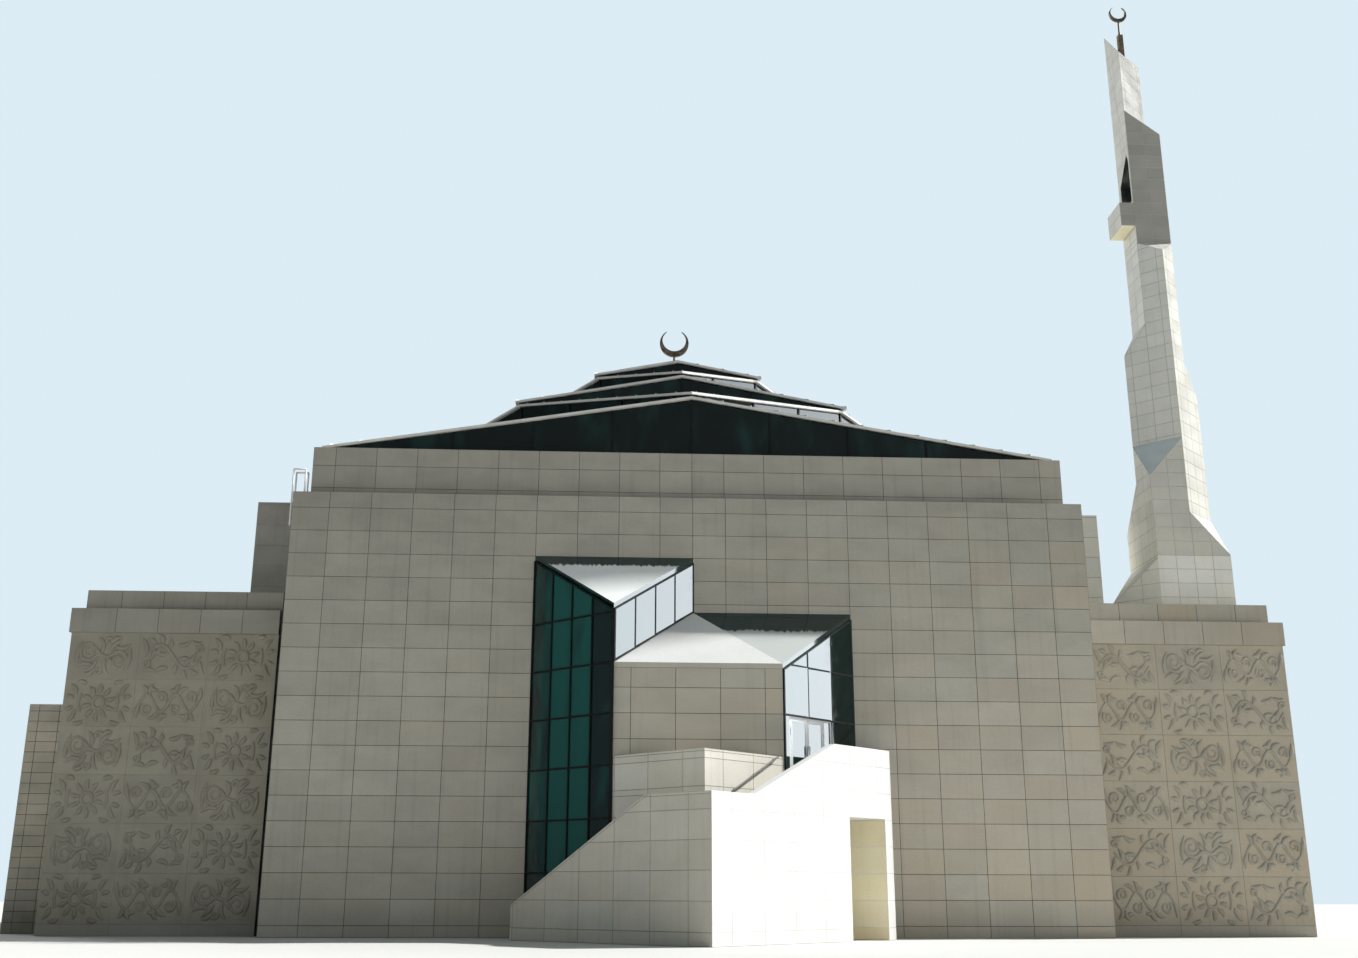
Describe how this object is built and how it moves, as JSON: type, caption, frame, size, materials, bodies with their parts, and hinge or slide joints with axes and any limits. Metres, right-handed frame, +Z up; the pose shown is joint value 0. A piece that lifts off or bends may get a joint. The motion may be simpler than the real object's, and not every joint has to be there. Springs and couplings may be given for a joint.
{
  "type": "mosque building",
  "caption": "Stone prayer hall with a glass roof of turned squares, two lower wings, a faceted glass entrance bay over an outside stair, and a faceted corner minaret.",
  "frame": {"origin": "underside of the ground floor, at ground level under the middle of the prayer hall", "axes": "+Z up, the entrance front faces -Y, the minaret stands on the +X side"},
  "size_m": [37.68, 30.0958, 32.1758],
  "materials": {
    "stone": "honed limestone panels",
    "white_stone": "pale smooth panels",
    "dark_glass": "dark green tinted glass",
    "roof_metal": "light grey coated sheet",
    "white_frame": "white powder coat",
    "rail_steel": "brushed",
    "bronze": "dull bronze"
  },
  "bodies": {
    "building": {"front_wall": "stone", "rear_walls": "stone", "ground_floor": "stone", "hall_floor": "stone", "terrace": "stone", "attic_wall": "stone", "roof_glass_1": "dark_glass", "roof_plates_1": "roof_metal", "roof_glass_2": "dark_glass", "roof_plates_2": "roof_metal", "roof_glass_3": "dark_glass", "roof_plates_3": "roof_metal", "roof_glass_4": "dark_glass", "roof_plates_4": "roof_metal", "roof_glass_5": "dark_glass", "roof_plates_5": "roof_metal", "roof_cap": "roof_metal", "roof_crescent": "bronze", "bay_glass_left": "dark_glass", "bay_glass_inner": "dark_glass", "bay_glass_right": "dark_glass", "bay_roof_left": "white_stone", "porch_roof": "white_stone", "bay_roof_right": "dark_glass", "porch_wall": "stone", "door_frame": "white_frame", "stair_wall_left": "stone", "stair_wall_right": "stone", "court_wall": "stone", "undercroft_wall": "stone", "stair_lower_flight": "stone", "stair_upper_flight": "stone", "middle_landing": "stone", "upper_landing": "stone", "bay_floor": "stone", "handrail": "rail_steel", "wing_left_walls": "stone", "wing_left_band": "stone", "wing_left_roof": "stone", "block_left": "stone", "wing_right_walls": "stone", "wing_right_band": "stone", "wing_right_roof": "stone", "block_right": "stone", "annex": "stone", "minaret_base": "stone", "minaret_shaft": "stone", "minaret_head": "stone", "minaret_balcony": "stone", "minaret_crescent": "bronze"},
    "left_leaf": {"door_leaf_left": "white_frame"},
    "right_leaf": {"door_leaf_right": "white_frame"}
  },
  "joints": [
    {"name": "left_leaf_hinge", "type": "hinge", "parent": "building", "child": "left_leaf", "pos_m": [2.50132, -13.70082, 3.62], "axis": [0, 0, -1], "range_deg": [0, 90]},
    {"name": "right_leaf_hinge", "type": "hinge", "parent": "building", "child": "right_leaf", "pos_m": [3.52239, -12.67976, 3.62], "axis": [0, 0, 1], "range_deg": [0, 90]}
  ]
}
